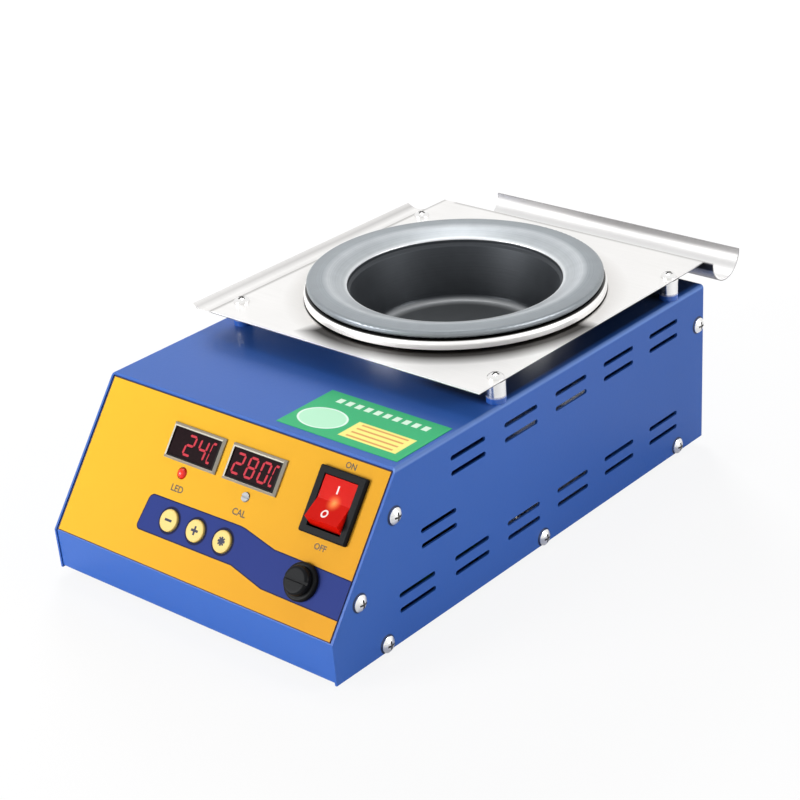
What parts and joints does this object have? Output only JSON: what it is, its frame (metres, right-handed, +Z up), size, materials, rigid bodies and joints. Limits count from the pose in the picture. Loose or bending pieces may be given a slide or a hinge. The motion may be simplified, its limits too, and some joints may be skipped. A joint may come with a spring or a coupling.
{
  "type": "solder pot",
  "caption": "Bench solder pot: sloped control panel, vented folded housing, round heated pot in a stainless plate with a rear dross gutter.",
  "frame": {"origin": "bottom centre of the overall bounding box, on the surface the feet stand on", "axes": "+Z up, front panel faces -Y, +X to the right seen from the front; Y is the longest side"},
  "size_m": [0.1731, 0.2938, 0.1025],
  "materials": {
    "blue_powder_coat": "satin powder coat",
    "panel_film": "printed polyester film, satin",
    "stainless": "polished sheet",
    "bright_steel": "nickel plated",
    "pot_coating": "grey satin coating",
    "black_plastic": "moulded, fine grain",
    "rocker_red": "translucent red",
    "display_red": "dark smoked filter",
    "bezel_silver": "silver, satin",
    "button_yellow": "moulded",
    "lamp_red": "clear red epoxy",
    "trimmer_grey": "moulded",
    "board_green": "solder mask",
    "brass_parts": "plain",
    "foot_rubber": "moulded",
    "ceramic_wool": "pressed ceramic fibre",
    "mica_band": "sheathed heater band",
    "fuse_glass": "clear",
    "core_steel": "varnished laminations",
    "coil_tape": "polyester tape",
    "block_green": "moulded",
    "label_green": "printed film",
    "sink_black": "black anodised"
  },
  "bodies": {
    "housing": {"base_chassis": "blue_powder_coat", "housing_cover": "blue_powder_coat", "foot_front_left": "foot_rubber", "foot_front_right": "foot_rubber", "foot_rear_left": "foot_rubber", "foot_rear_right": "foot_rubber", "foot_screws": "bright_steel", "cover_screws_left": "bright_steel", "cover_screws_right": "bright_steel", "panel_overlay": "panel_film", "left_display_bezel": "bezel_silver", "right_display_bezel": "bezel_silver", "left_display": "display_red", "right_display": "display_red", "tact_switches": "black_plastic", "indicator_lamp": "lamp_red", "trimmer_base": "trimmer_grey", "panel_board": "board_green", "panel_posts": "brass_parts", "switch_body": "black_plastic", "switch_tags": "brass_parts", "fuse_holder": "black_plastic", "fuse_nut": "black_plastic", "fuse_tag": "brass_parts", "top_plate": "stainless", "plate_standoffs": "bright_steel", "plate_screws": "bright_steel", "solder_pot": "pot_coating", "heater_can": "stainless", "heater_band": "mica_band", "heater_terminals": "brass_parts", "insulation_cup": "ceramic_wool", "insulation_blanket": "ceramic_wool", "temperature_probe": "stainless", "can_bracket": "stainless", "bracket_screws": "bright_steel", "board_posts": "brass_parts", "control_board": "board_green", "relay": "black_plastic", "terminal_block": "block_green", "heat_sink": "sink_black", "triac": "black_plastic", "capacitor": "black_plastic", "transformer_core": "core_steel", "transformer_coil": "coil_tape", "mains_inlet": "black_plastic", "inlet_pins": "brass_parts", "inlet_screws": "bright_steel", "earth_stud": "brass_parts", "roof_label": "label_green"},
    "minus_key": {"minus_button": "button_yellow"},
    "plus_key": {"plus_button": "button_yellow"},
    "set_key": {"set_button": "button_yellow"},
    "trimmer": {"trimmer_rotor": "trimmer_grey"},
    "rocker": {"switch_rocker": "rocker_red"},
    "fuse_carrier": {"fuse_clip": "brass_parts", "fuse_ends": "bright_steel", "fuse_glass": "fuse_glass"},
    "fuse_knob": {"fuse_cap": "black_plastic"}
  },
  "joints": [
    {"name": "minus_key_press", "type": "slide", "parent": "housing", "child": "minus_key", "axis": [0, 0.8032, -0.5957], "range_m": [0, 0.0006], "stiffness_N_per_m": 600},
    {"name": "plus_key_press", "type": "slide", "parent": "housing", "child": "plus_key", "axis": [0, 0.8032, -0.5957], "range_m": [0, 0.0006], "stiffness_N_per_m": 600},
    {"name": "set_key_press", "type": "slide", "parent": "housing", "child": "set_key", "axis": [0, 0.8032, -0.5957], "range_m": [0, 0.0006], "stiffness_N_per_m": 600},
    {"name": "trimmer_turn", "type": "hinge", "parent": "housing", "child": "trimmer", "pos_m": [0.0143, -0.1209, 0.05671], "axis": [0, -0.8032, 0.5957], "range_deg": [-135, 135]},
    {"name": "rocker_tilt", "type": "hinge", "parent": "housing", "child": "rocker", "pos_m": [0.0597, -0.11276, 0.0625], "axis": [1, 0, 0], "range_deg": [0, 24]},
    {"name": "fuse_draw", "type": "slide", "parent": "housing", "child": "fuse_carrier", "axis": [0, -0.8032, 0.5957], "range_m": [0, 0.034]},
    {"name": "fuse_knob_turn", "type": "hinge", "parent": "fuse_carrier", "child": "fuse_knob", "pos_m": [0.0573, -0.13544, 0.03761], "axis": [0, -0.8032, 0.5957], "range_deg": [0, 90]}
  ]
}
